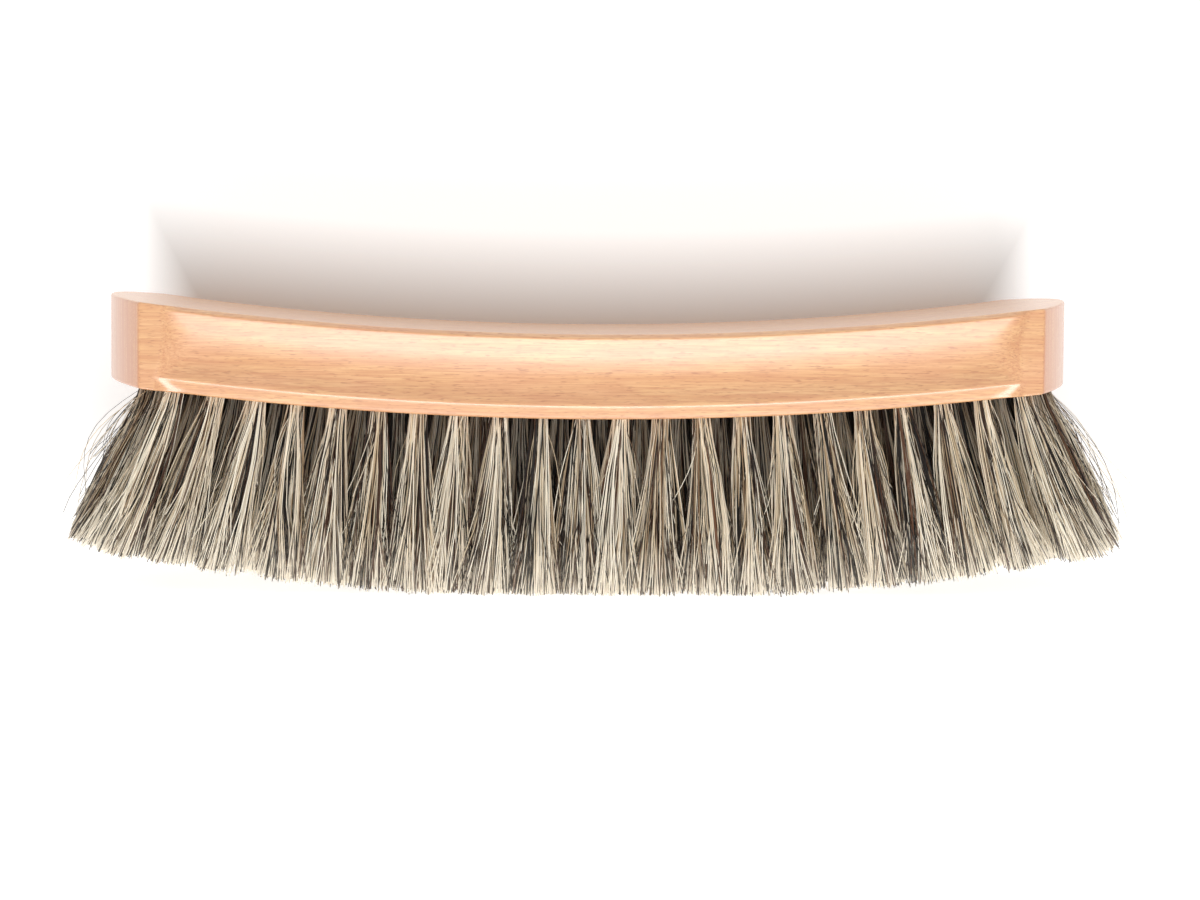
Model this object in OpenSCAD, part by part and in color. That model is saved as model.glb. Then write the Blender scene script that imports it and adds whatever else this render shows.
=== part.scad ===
// Shoe shine brush: a curved beech block with a finger groove along each side,
// drilled for rows of horsehair tufts, each held in its blind hole by a flat wire anchor.
// Millimetres. X runs along the brush, Y across it, Z up. The brush stands on its bristles,
// and the origin is on that surface, under the middle of the bristle field.

/* [Block] */
// Length of the block, end to end
block_l = 200; // [170:1:235]
// Width of the block, side to side
block_w = 55; // [51:0.5:66]
// Thickness of the block
block_t = 17.4; // [15.4:0.2:24]
// Radius that the underside follows along its length
block_r = 730; // [500:5:1400]
// How far each end bulges past its corners
end_bulge = 8; // [5:0.5:14]
// Radius of the upright corners between sides and ends
corner_r = 1.2; // [0.6:0.1:3]
// Width of the bevel round the rims of the two ends
rim_bevel = 0.8; // [0.4:0.1:1.6]
// How far the block sits off the middle of the bristle field, along X
block_shift = -1.8; // [-3:0.2:3]

/* [Finger grooves] */
// How far the milled side stands back from the plain side at the ends
side_recess = 0.5; // [0.2:0.1:1]
// Depth of the hollow
cove_d = 1.9; // [1:0.1:2.6]
// Height of the flat lip above the hollow
top_lip = 0.4; // [0.2:0.1:1.2]
// Height of the flat lip below the hollow
bottom_lip = 0.6; // [0.2:0.1:1.4]
// Height of the chamfer along the top edge
top_chamfer_h = 1; // [0.8:0.1:2.5]
// Width of the chamfer along the top edge
top_chamfer_w = 1.2; // [0.6:0.1:2.5]
// Height of the chamfer along the bottom edge
bottom_chamfer_h = 2.9; // [1:0.1:3.5]
// Width of the chamfer along the bottom edge
bottom_chamfer_w = 1.6; // [0.8:0.1:2.2]
// Length of plain side left between the milling and each corner
plain_end = 4.5; // [3:0.5:12]
// Angle of the shoulder where the milling runs out
shoulder_a = 45; // [30:5:70]

/* [Tuft holes] */
// Diameter of a tuft hole
hole_d = 4.2; // [3.6:0.1:4.8]
// Depth of a tuft hole, along its own axis
hole_depth = 11; // [8:0.5:12]
// Spacing of the tufts along a row, before the row is spread evenly
tuft_pitch = 8.25; // [7.9:0.05:10]
// From the side of the block to the middle of the outer holes
side_margin = 6.5; // [6:0.1:8]
// From the end of the block to the middle of the last hole of the middle row
end_margin = 4.5; // [4:0.1:8]
// How much further from the end the outer rows stop
outer_margin = 2.3; // [1.5:0.1:6]
// Height of the point that the holes fan out from, along the brush
fan_r_x = 480; // [350:10:900]
// Height of the line that the holes fan out from, across the brush
fan_r_y = 170; // [130:5:300]

/* [Anchors] */
// Thickness of the flat wire
anchor_t = 0.4; // [0.3:0.05:0.6]
// Height of the flat wire, along the hole
anchor_h = 2; // [1.2:0.1:2.6]
// How far each end of an anchor bites into the wood
anchor_bite = 0.5; // [0.2:0.1:0.8]
// Hair folded under an anchor, between it and the bottom of the hole
fold_t = 1.2; // [0.6:0.1:2]
// Turn of the anchors from the grain
anchor_turn = 45; // [30:5:60]

/* [Bristles] */
// Length of the bristles at the middle of the brush, before the foot is cut
bristle_l = 36.1; // [25:0.5:50]
// Radius that the trimmed ends follow along the brush
trim_r = 580; // [500:5:900]
// Depth of the flat foot cut under the middle
foot_cut = 0.5; // [0.3:0.1:1]
// How far the packed root of a tuft stands out of its hole
root_out = 1; // [0.7:0.1:2]
// From the axis of a tuft to the axis of a strand, at the trimmed end
tuft_spread = 3.3; // [2.4:0.1:3.4]
// Radius of a strand at its trimmed end
strand_tip_r = 1.3; // [0.6:0.1:1.3]
// Outward slope added to the hair at the two ends of a row
end_flare = 0.25; // [0:0.01:0.34]
// Outward slope added to the hair of the two outer rows
side_flare = 0.05; // [0:0.01:0.12]

/* [Clearances] */
// Room between a tuft and its hole
hair_clear = 0.1; // [0.06:0.01:0.2]
// Room between an anchor and its seat in the wood and in the hair
anchor_clear = 0.05; // [0.02:0.01:0.1]

/* [Hidden] */
ROWS = 7;

beech = "#e6b07a";
pale_hair = "#c9bda9";
dark_hair = "#84786a";
steel = "#b9bcc0";

// Enough sides for a small round surface, for the plan of the ends and for the long bend
round_fn = 96;
plan_fn = 240;
bend_fn = 1440;
// How far a cutter runs past what it cuts
over = 2;

// Heights of the underside, and of the axis that the block is bent about
under_z = bristle_l - foot_cut;
bend_z = under_z + block_r;
top_r = block_r - block_t;

// Plan of the block: straight sides, and ends that are arcs through the corners
half_l = block_l / 2;
half_w = block_w / 2;
corner_x = half_l - end_bulge;
end_r = (half_w * half_w + end_bulge * end_bulge) / (2 * end_bulge);
end_x = half_l - end_r;

// Milled side: it ends short of the corners, and the hollow is an arc between two lips
milled_x = corner_x - plain_end;
milled_y = half_w - side_recess;
cove_top = top_chamfer_h + top_lip;
cove_bottom = block_t - bottom_chamfer_h - bottom_lip;
cove_half = (cove_bottom - cove_top) / 2;
cove_mid = (cove_bottom + cove_top) / 2;
cove_r = (cove_half * cove_half + cove_d * cove_d) / (2 * cove_d);

// Rows of tufts
row_pitch = (block_w - 2 * side_margin) / (ROWS - 1);
middle_row = (ROWS + 1) / 2;

// Strands of a tuft, from the packed root through a knee to the trimmed end
STRANDS = 3;
SIDES = 3;
root_r = hole_d / 2 - hair_clear;
strand_root_r = 0.42 * root_r;
root_spread = 0.5 * root_r;
strand_sink = 0.6;
knee = 8;
strand_knee_r = (strand_root_r + strand_tip_r) / 2;
knee_spread = root_spread + 0.25 * (tuft_spread - root_spread);
flare_power = 5;

// Angle at the bend axis for a distance x along the underside
function bend_angle(x) = asin(x / block_r);

// Height of the underside at x, measured in the frame of the brush
function under(x) = bend_z - sqrt(block_r * block_r - pow(x - block_shift, 2));

// Y of a row, and how far its end holes lie from the middle of the field
function row_y(r) = (r - middle_row) * row_pitch;
function row_reach(r) =
    end_x + sqrt(end_r * end_r - pow(row_y(r), 2)) - abs(block_shift)
    - end_margin - outer_margin * pow(row_y(r) / row_y(ROWS), 2);

// Rows take an even and an odd number of tufts in turn, so neighbouring rows are staggered
function row_count(r) = r % 2 == 1
    ? 2 * round((2 * row_reach(r) / tuft_pitch + 1) / 2)
    : 2 * round(row_reach(r) / tuft_pitch) + 1;

// X of tuft i of a row
function tuft_x(r, i) = row_reach(r) * (2 * i / (row_count(r) - 1) - 1);

// Middle of the mouth of a hole
function mouth(r, i) = [tuft_x(r, i), row_y(r), under(tuft_x(r, i))];

// Turns, about X and then about Y, that lean a hole away from the middle of the brush
function lean_y(r, i) = -atan(tuft_x(r, i) / fan_r_x);
function lean_x(r, i) = atan(row_y(r) / fan_r_y * cos(lean_y(r, i)));

// Unit vectors of a leaning hole: across it twice, and down out of its mouth
function across_1(a, b) = [cos(b), 0, -sin(b)];
function across_2(a, b) = [sin(b) * sin(a), cos(a), cos(b) * sin(a)];
function down(a, b) = [-cos(a) * sin(b), sin(a), -cos(a) * cos(b)];

// Slope of the free hair, which flares past the fan at the ends and in the outer rows
function flared(share) = sign(share) * pow(abs(share), flare_power);
function hair_slope(r, i) = [
    tuft_x(r, i) / fan_r_x + end_flare * flared(tuft_x(r, i) / row_reach(r)),
    row_y(r) / fan_r_y + side_flare * flared(row_y(r) / row_y(ROWS)),
    -1];

// A point at a distance and angle from the axis of a tuft
function off_axis(p, a, b, d, turn) = p + d * (cos(turn) * across_1(a, b) + sin(turn) * across_2(a, b));

// Ring of a strand: a triangle with one corner pointing away from the tuft's axis
function strand_ring(p, a, b, spread, size, turn) = [
    for (s = [0:SIDES - 1])
        off_axis(off_axis(p, a, b, spread, turn), a, b, size, turn + s * 360 / SIDES)];

// Where the line from p towards q meets the trimmed surface: the trim arc or the flat foot
function trim_share(p, d) =
    let (c = [p[0], p[2] - (trim_r - foot_cut)],
         e = [d[0], d[2]],
         arc = (-(c * e) + sqrt(pow(c * e, 2) - (e * e) * (c * c - trim_r * trim_r))) / (e * e),
         foot = -p[2] / d[2])
    min(arc, foot);
function trimmed(p, q) = p + trim_share(p, q - p) * (q - p);

// Side section of the milling, across the block: x is the distance from the bend axis, y is Y
module milling_section() {
    polygon([
        [top_r - over, half_w + over],
        [top_r - over, milled_y - top_chamfer_w * (1 + over / top_chamfer_h)],
        [top_r + top_chamfer_h, milled_y],
        [block_r - bottom_chamfer_h, milled_y],
        [block_r + over, milled_y - bottom_chamfer_w * (1 + over / bottom_chamfer_h)],
        [block_r + over, half_w + over]]);
    translate([top_r + cove_mid, milled_y - cove_d + cove_r])
        circle(r = cove_r, $fn = round_fn);
}

// Sweeps a section about the bend axis, through an angle either way from the middle
module bend(half_angle)
    translate([block_shift, 0, bend_z])
        rotate([90, 0, 0])
            rotate([0, 0, -90 - half_angle])
                rotate_extrude(angle = 2 * half_angle, $fn = bend_fn)
                    mirror([0, 1])
                        children();

// Upright prism with the plan of the block
module plan_prism()
    translate([block_shift, 0, under_z - over])
        linear_extrude(height = bend_z) {
            square([2 * corner_x, block_w], center = true);
            for (side = [0, 1])
                mirror([side, 0])
                    intersection() {
                        translate([end_x, 0])
                            circle(r = end_r, $fn = plan_fn);
                        translate([corner_x - over, -half_w])
                            square([end_bulge + 2 * over, block_w]);
                    }
        }

// What rounds off one upright corner
module corner_cutter() {
    round_y = half_w - corner_r;
    round_x = end_x + sqrt(pow(end_r - corner_r, 2) - round_y * round_y);
    wall = atan(round_y / (round_x - end_x));
    translate([block_shift, 0, under_z - over])
        linear_extrude(height = bend_z)
            difference() {
                polygon([
                    [round_x, round_y],
                    [round_x, half_w],
                    [round_x, half_w + over],
                    [corner_x + over, half_w + over],
                    [round_x + (corner_r + over) * cos(wall), round_y + (corner_r + over) * sin(wall)]]);
                translate([round_x, round_y])
                    circle(r = corner_r, $fn = round_fn);
            }
}

// What bevels the rim of one end, where the end wall meets a face at distance r from the bend axis
module rim_cutter(r, way) {
    tilt = asin(half_l / r);
    spread = asin(half_w / end_r) + over;
    translate([block_shift + half_l, 0, bend_z - r * cos(tilt)])
        rotate([0, -tilt, 0])
            translate([-end_r, 0, 0])
                rotate([0, 0, -spread])
                    rotate_extrude(angle = 2 * spread, $fn = plan_fn)
                        polygon([
                            [end_r - rim_bevel - over, way * over],
                            [end_r + over, way * over],
                            [end_r + over, -way * (rim_bevel + over)]]);
}

// Finger groove and chamfers of one side, run out on a shoulder at each end
module side_cutter()
    intersection() {
        bend(bend_angle(half_l))
            milling_section();
        translate([block_shift, 0, under_z - over])
            linear_extrude(height = bend_z)
                polygon([
                    [-milled_x - over / tan(shoulder_a), half_w + over],
                    [milled_x + over / tan(shoulder_a), half_w + over],
                    [milled_x - half_w / tan(shoulder_a), 0],
                    [-milled_x + half_w / tan(shoulder_a), 0]]);
    }

// Places its children in the frame of a hole: Z runs up into the wood
module at_hole(r, i)
    translate(mouth(r, i))
        rotate([lean_x(r, i), lean_y(r, i), 0])
            children();

// Flat wire across a hole, with room added all round
module wire(room)
    translate([0, 0, hole_depth - fold_t - anchor_h / 2])
        rotate([0, 0, anchor_turn])
            cube([hole_d + 2 * (anchor_bite + room), anchor_t + 2 * room, anchor_h + 2 * room], center = true);

module hole(r, i)
    at_hole(r, i) {
        translate([0, 0, -over])
            cylinder(d = hole_d, h = hole_depth + over, $fn = round_fn);
        wire(anchor_clear);
    }

module block()
    color(beech)
        difference() {
            intersection() {
                bend(bend_angle(half_l + over))
                    translate([top_r, -half_w - over])
                        square([block_t, block_w + 2 * over]);
                plan_prism();
            }
            for (side = [0, 1])
                mirror([0, side, 0])
                    side_cutter();
            for (end = [1, -1], side = [0, 1])
                translate([block_shift, 0, 0])
                    mirror([end < 0 ? 1 : 0, 0, 0])
                        translate([-block_shift, 0, 0])
                            mirror([0, side, 0])
                                corner_cutter();
            for (end = [0, 1])
                translate([block_shift, 0, 0])
                    mirror([end, 0, 0])
                        translate([-block_shift, 0, 0]) {
                            rim_cutter(top_r, 1);
                            rim_cutter(block_r, -1);
                        }
            for (r = [1:ROWS], i = [0:row_count(r) - 1])
                hole(r, i);
        }

// One strand of hair: a bent triangular bar from inside the packed root to the trimmed end
module strand(r, i, turn) {
    a = lean_x(r, i);
    b = lean_y(r, i);
    start = mouth(r, i) + (root_out - strand_sink) * down(a, b);
    bend_at = mouth(r, i) + knee * down(a, b);
    far = bend_at + bristle_l * hair_slope(r, i);
    first = strand_ring(start, a, b, root_spread, strand_root_r, turn);
    second = strand_ring(bend_at, a, b, knee_spread, strand_knee_r, turn);
    past = strand_ring(far, a, b, tuft_spread, strand_tip_r, turn);
    last = [for (s = [0:SIDES - 1]) trimmed(second[s], past[s])];
    polyhedron(
        points = concat(first, second, last),
        faces = concat(
            [[2, 1, 0], [6, 7, 8]],
            [for (ring = [0, SIDES], s = [0:SIDES - 1])
                let (t = (s + 1) % SIDES)
                each [
                    [ring + s, ring + SIDES + t, ring + SIDES + s],
                    [ring + s, ring + t, ring + SIDES + t]]]));
}

// One tuft: hair packed in its hole round the wire, which fans out into strands
module tuft(r, i) {
    difference() {
        at_hole(r, i)
            translate([0, 0, -root_out])
                cylinder(r = root_r, h = hole_depth + root_out - hair_clear, $fn = round_fn);
        at_hole(r, i)
            wire(anchor_clear);
    }
    outward = r < middle_row ? -90 : 90;
    for (s = [0:STRANDS - 1])
        strand(r, i, outward + s * 360 / STRANDS);
}

module tuft_row(r)
    color(r % 2 == 1 ? pale_hair : dark_hair)
        for (i = [0:row_count(r) - 1])
            tuft(r, i);

module anchor_row(r)
    color(steel)
        for (i = [0:row_count(r) - 1])
            at_hole(r, i)
                wire(0);

block();
for (r = [1:ROWS])
    tuft_row(r);
for (r = [1:ROWS])
    anchor_row(r);
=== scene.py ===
# %% [markdown]
# Shoe shine brush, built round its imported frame.
# The real brush is a curved block of steamed beech with a finger groove moulded along each side,
# drilled for 161 tufts of mixed horsehair, each held in its hole by a flat wire anchor.
# The frame gives the real places of the holes and the real size of the block. This lesson dresses
# it: first the camera, then the wood, then some 55,000 single hairs, and last the light and the
# stage. Blender works in metres, so a length here is written in millimetres and multiplied by MM.

import bmesh
import bpy
import numpy as np
from mathutils import Matrix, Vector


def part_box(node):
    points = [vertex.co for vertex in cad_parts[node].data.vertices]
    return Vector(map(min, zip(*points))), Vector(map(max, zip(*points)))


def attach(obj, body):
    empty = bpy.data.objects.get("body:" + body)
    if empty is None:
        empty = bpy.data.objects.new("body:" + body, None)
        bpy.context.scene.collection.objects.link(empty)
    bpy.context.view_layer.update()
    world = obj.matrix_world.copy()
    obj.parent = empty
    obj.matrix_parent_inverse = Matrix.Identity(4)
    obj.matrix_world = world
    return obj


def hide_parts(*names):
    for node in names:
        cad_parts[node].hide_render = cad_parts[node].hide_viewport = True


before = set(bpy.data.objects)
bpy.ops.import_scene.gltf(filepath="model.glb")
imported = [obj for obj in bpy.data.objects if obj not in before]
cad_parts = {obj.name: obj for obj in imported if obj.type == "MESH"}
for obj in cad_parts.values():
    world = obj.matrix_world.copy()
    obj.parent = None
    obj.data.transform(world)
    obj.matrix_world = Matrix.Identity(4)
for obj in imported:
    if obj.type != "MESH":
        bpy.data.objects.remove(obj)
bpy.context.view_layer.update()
MM = 0.001

# %% [markdown]
# The camera looks at the long side of the brush from 0.73 m, a little from above, as in the
# photograph. A Track To constraint could aim it, but this camera is also rolled a little, so its
# turn is worked out from three angles. They and its place come from fitting the edges of the
# block, and a long lens keeps the perspective flat.

# %% Camera
CAMERA_AT = np.array([-27.7, -727.5, 83.3]) * MM
CAMERA_YAW, CAMERA_PITCH, CAMERA_ROLL = np.radians([2.24, 4.39, 0.5])
LENS_MM, SENSOR_MM = 103.6, 36.0


def camera_turn(yaw, pitch, roll):
    """A 3 by 3 turn: look along +Y, swing right by yaw, tip down by pitch, then roll the picture.

    Above is square to the level line and to the view. Right and up are these two, turned by roll.
    """
    forward = np.array([np.sin(yaw) * np.cos(pitch), np.cos(yaw) * np.cos(pitch), -np.sin(pitch)])
    level = np.array([np.cos(yaw), -np.sin(yaw), 0.0])
    above = np.cross(level, forward)
    right = np.cos(roll) * level + np.sin(roll) * above
    up = np.cos(roll) * above - np.sin(roll) * level
    return np.stack([right, up, -forward], axis=1)


camera_data = bpy.data.cameras.new("camera")
camera_data.lens, camera_data.sensor_width = LENS_MM, SENSOR_MM
camera = bpy.data.objects.new("camera", camera_data)
bpy.context.scene.collection.objects.link(camera)
turn = camera_turn(CAMERA_YAW, CAMERA_PITCH, CAMERA_ROLL)
camera.matrix_world = Matrix.Translation(CAMERA_AT) @ Matrix(turn.tolist()).to_4x4()
bpy.context.scene.camera = camera
print("camera at", CAMERA_AT / MM, "mm")

# %% [markdown]
# Every material needs the same three things: colours written as sRGB hex values and turned to
# linear light, a quick way to add a node with its settings and links, and a fresh node tree with
# a Principled shader. Nodes could be placed by hand in the editor, but a script can be run again.
# One small function does each.

# %% Helpers for materials
# A Mix node has sockets for every kind of data. These are the numbers of those for colours.
COLOUR_A, COLOUR_B, COLOUR_OUT = 6, 7, 2


def linear(hex_colour):
    """Linear RGBA of an sRGB hex colour.

    A channel below 0.04045 is divided by 12.92. Any other is ((c + 0.055) / 1.055) ** 2.4.
    """
    srgb = np.array([int(hex_colour[i:i + 2], 16) for i in (1, 3, 5)]) / 255
    low, high = srgb / 12.92, ((srgb + 0.055) / 1.055) ** 2.4
    return (*np.where(srgb <= 0.04045, low, high), 1.0)


def add(tree, kind, inputs=None, stops=None, **settings):
    """Adds a node. Settings are its own values, inputs are values or sockets for its sockets, and
    stops are the places and hex colours of a ramp.
    """
    node = tree.nodes.new("ShaderNode" + kind)
    for key, value in settings.items():
        setattr(node, key, value)
    for key, value in (inputs or {}).items():
        if isinstance(value, bpy.types.NodeSocket):
            tree.links.new(value, node.inputs[key])
        else:
            node.inputs[key].default_value = value
    for i, (place, colour) in enumerate(stops or []):
        ramp = node.color_ramp.elements
        stop = ramp[i] if i < 2 else ramp.new(place)
        stop.position, stop.color = place, linear(colour)
    return node


def new_material(name, **constants):
    """A material with one Principled shader, whose plain values go on its own sockets."""
    material = bpy.data.materials.new(name)
    material.use_nodes = True
    shader = material.node_tree.nodes["Principled BSDF"]
    for key, value in constants.items():
        shader.inputs[key.replace("_", " ")].default_value = value
    return material, material.node_tree, shader


print("pale beech in linear light:", np.round(linear("#ecba80"), 3))

# %% [markdown]
# New pieces are grids of points that numpy works out as whole arrays. A bmesh loop could set one
# vertex at a time, but it would be slow for a million faces. So one helper puts points, faces and,
# where there is one, a UV map into a mesh at once, and hangs the object on the frame's body.

# %% Helper for meshes
# Name of the UV map that the hair's material reads
UV_MAP = "OFBake"


def make_piece(name, points, quads, triangles=None, places=None):
    """An object at the origin, from points (n, 3), quads (m, 4) and triangles (k, 3).

    Places are UV values, one pair for each corner of the quads and then of the triangles.
    """
    triangles = np.zeros((0, 3), int) if triangles is None else triangles
    mesh = bpy.data.meshes.new(name)
    corners = np.concatenate([quads.ravel(), triangles.ravel()])
    sides = np.concatenate([np.full(len(quads), 4), np.full(len(triangles), 3)])
    mesh.vertices.add(len(points))
    mesh.vertices.foreach_set("co", np.asarray(points, np.float32).ravel())
    mesh.loops.add(len(corners))
    mesh.loops.foreach_set("vertex_index", corners.astype(np.int32))
    mesh.polygons.add(len(sides))
    mesh.polygons.foreach_set("loop_start", (np.cumsum(sides) - sides).astype(np.int32))
    mesh.polygons.foreach_set("loop_total", sides.astype(np.int32))
    if places is not None:
        layer = mesh.uv_layers.new(name=UV_MAP)
        layer.uv.foreach_set("vector", np.asarray(places, np.float32).ravel())
    mesh.update(calc_edges=True)
    mesh.polygons.foreach_set("use_smooth", np.ones(len(sides), bool))
    piece = bpy.data.objects.new(name, mesh)
    bpy.context.scene.collection.objects.link(piece)
    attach(piece, "root")
    print(name, "has", len(quads) * 2 + len(triangles), "triangles")
    return piece


# %% [markdown]
# The block is one piece of wood, about 200 by 55 mm and 17 mm thick, bent to a radius of 730 mm.
# A box with a Bend modifier and bevels could give its outline, but not the groove, which a cutter
# moulds and which runs out on a short shoulder near each end. So the whole skin is one grid: along
# the plan's outline, and round the section. Its box is read from the frame, and thickness, bend,
# bulge of the ends and corner radius come from the photograph.

# %% Sizes of the block
block_low, block_high = (np.array(corner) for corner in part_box("block"))
HALF_L, SHIFT = (block_high[0] - block_low[0]) / 2, (block_high[0] + block_low[0]) / 2
HALF_W, UNDER_Z = block_high[1], block_low[2]
BLOCK_T, BLOCK_R, END_BULGE, CORNER_R = np.array([17.4, 730.0, 8.0, 1.0]) * MM
# Height of the bend's axis, and radius of the top face, which is bent round it
BEND_Z, TOP_R = UNDER_Z + BLOCK_R, BLOCK_R - BLOCK_T
# Radius of an end's arc from half its chord and its bulge, and the place of its centre
END_R = (HALF_W**2 + END_BULGE**2) / (2 * END_BULGE)
END_X = HALF_L - END_R
print("half length and width in mm:", round(HALF_L / MM, 2), round(HALF_W / MM, 2))

# %% [markdown]
# Seen from above, the block has straight sides, small round corners and ends that are arcs. A
# bezier curve could draw this outline, but its points would lie where Blender puts them. Worked
# out here, they stand close together where the moulding runs out near each end. A quarter is
# enough, because the other three are its mirror images.

# %% Outline of the block in plan
# Plain wood past the moulding, the length over which it runs out, and a little beyond
PLAIN_END, SHOULDER_ZONE, SHOULDER_REACH = np.array([4.5, 12.0, 3.6]) * MM
MILLED_X = HALF_L - END_BULGE - PLAIN_END
# Stations along the straight side, over the run-out and past it, then round the corner and the end
SIDE_STATIONS, CORNER_STATIONS, END_STATIONS = (44, 80, 5), 8, 48


def quarter_outline():
    """One quarter of the plan, middle of a side to the tip of an end: points and outward normals.

    A straight side, then a small corner arc, then the end arc. On an arc a point is the centre
    plus the radius times (cos, sin) of the angle of its normal, which runs down to 0 at the tip.
    """
    corner_y = HALF_W - CORNER_R
    corner_x = END_X + np.sqrt((END_R - CORNER_R) ** 2 - corner_y**2)
    wall = np.arctan2(corner_y, corner_x - END_X)
    parts = [0, MILLED_X - SHOULDER_ZONE, MILLED_X + SHOULDER_REACH, corner_x]
    side = np.concatenate([np.linspace(start, stop, count, endpoint=False)
                           for start, stop, count in zip(parts, parts[1:], SIDE_STATIONS)])
    corner = np.linspace(np.pi / 2, wall, CORNER_STATIONS, endpoint=False)
    end = np.linspace(wall, 0, END_STATIONS)
    flat = np.zeros_like(side)
    points = np.concatenate([
        np.stack([side, flat + HALF_W], 1),
        np.stack([corner_x + CORNER_R * np.cos(corner), corner_y + CORNER_R * np.sin(corner)], 1),
        np.stack([END_X + END_R * np.cos(end), END_R * np.sin(end)], 1)])
    angles = np.concatenate([flat + np.pi / 2, corner, end])
    return points, np.stack([np.cos(angles), np.sin(angles)], 1)


outline, outward = quarter_outline()
print(len(outline), "stations on a quarter of the outline")

# %% [markdown]
# The moulded side has a chamfer at the top, a hollow between two narrow lips, and a taller chamfer
# at the bottom. A Boolean with a swept cutter could cut it, but would leave ragged faces at the
# run-outs. Here it is a depth at each place along the side and each height, the smaller of the
# cutter's profile and its run-out shoulder. Soft versions of smaller and larger round every edge
# by a few tenths of a millimetre, because sanded edges are what catches the light.

# %% Profile of the cutter
SIDE_RECESS, COVE_D, TOP_LIP, BOTTOM_LIP = np.array([0.5, 1.9, 0.4, 0.6]) * MM
TOP_CHAMFER_H, TOP_CHAMFER_W = 1.0 * MM, 1.2 * MM
BOTTOM_CHAMFER_H, BOTTOM_CHAMFER_W = 2.9 * MM, 1.6 * MM
HOLLOW_TOP, HOLLOW_BOTTOM = TOP_CHAMFER_H + TOP_LIP, BLOCK_T - BOTTOM_CHAMFER_H - BOTTOM_LIP
# Rounding of the hollow's deepest line, and how far down the hollow it lies
HOLLOW_ROUND, DEEPEST = 1.3 * MM, 0.68
EDGE_ROUND = 0.35 * MM


def soft_max(a, b, reach):
    """The larger of a and b. Where they differ by less than reach, a parabola joins them."""
    gap = np.clip(reach - np.abs(a - b), 0, None)
    return np.maximum(a, b) + gap**2 / (4 * reach)


def profile_depth(h):
    """Depth of the cutter's profile at height h below the top face.

    The hollow is a wide V with a soft bottom: the smaller of two straight slopes, which rise from
    its deepest line to its lips. The chamfers are straight too, and the largest of all counts.
    """
    deepest = HOLLOW_TOP + DEEPEST * (HOLLOW_BOTTOM - HOLLOW_TOP)
    down, up = (h - HOLLOW_TOP) / (deepest - HOLLOW_TOP), (HOLLOW_BOTTOM - h) / (HOLLOW_BOTTOM - deepest)
    hollow = HOLLOW_ROUND / 4 - soft_max(-down * COVE_D, -up * COVE_D, HOLLOW_ROUND)
    upper = TOP_CHAMFER_W * (1 - h / TOP_CHAMFER_H)
    lower = BOTTOM_CHAMFER_W * (1 - (BLOCK_T - h) / BOTTOM_CHAMFER_H)
    chamfers = soft_max(upper, lower, EDGE_ROUND)
    return SIDE_RECESS + soft_max(soft_max(chamfers, hollow, EDGE_ROUND), 0, EDGE_ROUND)


print("deepest cut in mm:", round(float(profile_depth(np.linspace(0, BLOCK_T)).max()) / MM, 2))

# %% Run-out of the moulding
# Radius of the cutter, and rounding of the inner corner where profile and shoulder meet
CUTTER_R, INNER_ROUND = 15 * MM, 0.9 * MM
# How much further out the cutter leaves the wood at the top and the bottom of each end
LEFT_RUN_OUT, RIGHT_RUN_OUT = (0.0, 1.6 * MM), (2.0 * MM, 0.7 * MM)


def shoulder_depth(x, h):
    """Depth that the shoulder allows, at x from the middle of the block and h below its top face.

    Near the end of the moulding it is an arc of the cutter's own radius, on which the cutter
    leaves the wood: full depth less radius, plus the root of (radius squared - way squared).
    """
    middle = (HOLLOW_BOTTOM + HOLLOW_TOP) / 2
    high, low = np.clip(1 - h / middle, 0, 1) ** 2, np.clip(h / middle - 1, 0, 1) ** 2
    left, right = (top * high + bottom * low for top, bottom in (LEFT_RUN_OUT, RIGHT_RUN_OUT))
    full = SIDE_RECESS + COVE_D
    run = np.sqrt(2 * CUTTER_R * full - full**2)
    before = run - (MILLED_X + np.where(x < 0, left, right) - np.abs(x))
    return full - CUTTER_R + np.sqrt(np.clip(CUTTER_R**2 - np.clip(before, 0, None) ** 2, 0, None))


def cut_depth(x, h):
    """Depth of the cut: the smaller of profile and shoulder, and never less than 0, both softened."""
    smaller = -soft_max(-profile_depth(h), -shoulder_depth(x, h), INNER_ROUND)
    return soft_max(smaller, 0, EDGE_ROUND)


print("depth at mid-height in mm:", round(float(cut_depth(0.0, BLOCK_T / 2)) / MM, 2))

# %% [markdown]
# The section is a loop: down the front wall, across the underside, up the back wall and back
# across the top. A Bevel modifier could round its rims, but all by one width. Here they are quarter
# rounds, small along the moulded sides and larger on the sanded ends. Each height becomes a Z by
# the bend: the block's faces are arcs about an axis far above the brush.

# %% Heights down a wall
# Radii of the rims along the sides and on the ends
RIM_SIDE, RIM_END = 0.3 * MM, 0.55 * MM
# Rows between one edge of the profile and the next: top chamfer, hollow and bottom chamfer
WALL_STEPS = (4, 14, 26, 16, 7)


def wall_rows():
    """Heights between the rims, as a share, close together where the profile has an edge."""
    edges = np.array([RIM_SIDE, TOP_CHAMFER_H - RIM_SIDE, HOLLOW_TOP + EDGE_ROUND,
                      HOLLOW_BOTTOM - EDGE_ROUND, BLOCK_T - BOTTOM_CHAMFER_H + EDGE_ROUND,
                      BLOCK_T - RIM_SIDE])
    rows = [np.linspace(a, b, n, endpoint=False) for a, b, n in zip(edges, edges[1:], WALL_STEPS)]
    return (np.concatenate([*rows, edges[-1:]]) - RIM_SIDE) / (BLOCK_T - 2 * RIM_SIDE)


print(len(wall_rows()), "rows down a wall")

# %% Skin of the block
# Points round a rim, and how sharply its radius changes at a corner
RIM_POINTS, RIM_POWER = 6, 8
# A wall is the moulded side where this share of its normal or more points across the brush
ACROSS = 0.999
# Points across a face, and one more near each edge, at this share of the half width
CAP_STEPS, CAP_EDGE = 12, 0.985


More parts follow.
